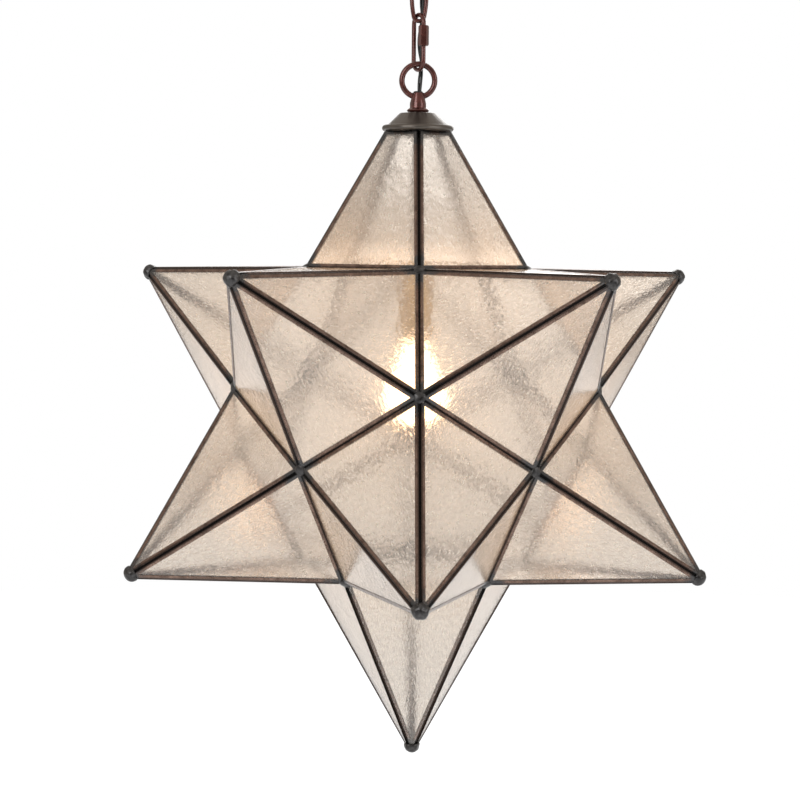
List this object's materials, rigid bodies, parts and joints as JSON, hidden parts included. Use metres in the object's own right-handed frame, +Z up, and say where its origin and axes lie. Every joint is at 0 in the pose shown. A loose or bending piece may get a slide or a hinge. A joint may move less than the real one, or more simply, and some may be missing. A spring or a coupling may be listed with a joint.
{
  "type": "moravian star pendant",
  "caption": "Star-shaped glass ceiling pendant with five-sided points, hung from a canopy on a short chain, a screw link and a loop, with a lamp inside and a hinged panel to reach it.",
  "frame": {"origin": "on the ceiling plane, midway between the two box screws of the crossbar", "axes": "+Z up into the ceiling, -Y towards the viewer of the picture, +X to the viewer's right"},
  "size_m": [0.5682, 0.5974, 0.953],
  "materials": {
    "clear_glass": "clear hand-rolled glass with seeds and ripples",
    "bronze_came": "dark copper-bronze patina",
    "grey_solder": "dull lead-grey solder",
    "pewter_cap": "satin pewter-bronze",
    "bronze_hardware": "satin oil-rubbed copper-bronze",
    "zinc_fittings": "zinc plated",
    "black_cord": "smooth insulated wire",
    "black_bushing": "moulded plastic",
    "connector_plastic": "moulded shell",
    "socket_brass": "plain brass shell",
    "socket_porcelain": "glazed",
    "lamp_base": "bare screw shell",
    "lamp_glass": "clear blown glass"
  },
  "bodies": {
    "canopy": {"crossbar": "zinc_fittings", "crossbar_nipple": "zinc_fittings", "crossbar_lock_nut": "zinc_fittings", "canopy": "bronze_hardware", "screw_collar": "bronze_hardware", "canopy_loop": "bronze_hardware", "wire_connectors": "connector_plastic", "supply_leads": "black_cord", "canopy_cord": "black_cord"},
    "upper_link": {"upper_chain_link": "bronze_hardware", "upper_link_cord": "black_cord"},
    "lower_link": {"lower_chain_link": "bronze_hardware", "lower_link_cord": "black_cord"},
    "screw_link": {"screw_link": "bronze_hardware", "screw_link_cord": "black_cord"},
    "sleeve": {"screw_sleeve": "bronze_hardware"},
    "star": {"hanging_loop": "bronze_hardware", "wire_bushing": "black_bushing", "cap_washer": "bronze_hardware", "vase_cap": "pewter_cap", "cap_lock_nut": "zinc_fittings", "lamp_pipe": "zinc_fittings", "socket_cap": "socket_brass", "socket_shell": "socket_brass", "socket_liner": "socket_porcelain", "bulb_base": "lamp_base", "bulb_glass": "lamp_glass", "glass_top_point": "clear_glass", "glass_upper_point_1": "clear_glass", "glass_upper_point_2": "clear_glass", "glass_upper_point_3": "clear_glass", "glass_upper_point_4": "clear_glass", "glass_upper_point_5": "clear_glass", "glass_lower_point_1": "clear_glass", "glass_lower_point_2": "clear_glass", "glass_lower_point_3": "clear_glass", "glass_lower_point_4": "clear_glass", "glass_lower_point_5": "clear_glass", "glass_bottom_point": "clear_glass", "came_top_point": "bronze_came", "came_upper_point_1": "bronze_came", "came_upper_point_2": "bronze_came", "came_upper_point_3": "bronze_came", "came_upper_point_4": "bronze_came", "came_upper_point_5": "bronze_came", "came_lower_point_1": "bronze_came", "came_lower_point_2": "bronze_came", "came_lower_point_3": "bronze_came", "came_lower_point_4": "bronze_came", "came_lower_point_5": "bronze_came", "came_bottom_point": "bronze_came", "solder_joints": "grey_solder", "star_hinge_tubes": "bronze_came", "hinge_pins": "zinc_fittings", "door_clip": "bronze_came"},
    "door": {"door_glass": "clear_glass", "door_came": "bronze_came", "door_hinge_tubes": "bronze_came", "door_pull": "bronze_came"}
  },
  "joints": [
    {"name": "upper_link_swing", "type": "hinge", "parent": "canopy", "child": "upper_link", "pos_m": [0, 0, -0.0695], "axis": [1, 0, 0], "range_deg": [-35, 35], "deforming": ["canopy_cord"]},
    {"name": "lower_link_swing", "type": "hinge", "parent": "upper_link", "child": "lower_link", "pos_m": [0, 0, -0.1155], "axis": [0, 1, 0], "range_deg": [-35, 35], "deforming": ["upper_link_cord"]},
    {"name": "screw_link_swing", "type": "hinge", "parent": "lower_link", "child": "screw_link", "pos_m": [0, 0, -0.1622], "axis": [0.8572, 0.515, 0], "range_deg": [-35, 35], "deforming": ["lower_link_cord"]},
    {"name": "sleeve_travel", "type": "slide", "parent": "screw_link", "child": "sleeve", "axis": [0, 0, -1], "range_m": [0, 0.0117]},
    {"name": "star_swing", "type": "hinge", "parent": "screw_link", "child": "star", "pos_m": [0, 0, -0.2105], "axis": [0.515, -0.8572, 0], "range_deg": [-35, 35], "deforming": ["screw_link_cord"]},
    {"name": "door_hinge", "type": "hinge", "parent": "star", "child": "door", "pos_m": [-0.0354, 0.19673, -0.40891], "axis": [-0.3182, -0.9479, 0.0157], "range_deg": [0, 110]}
  ]
}
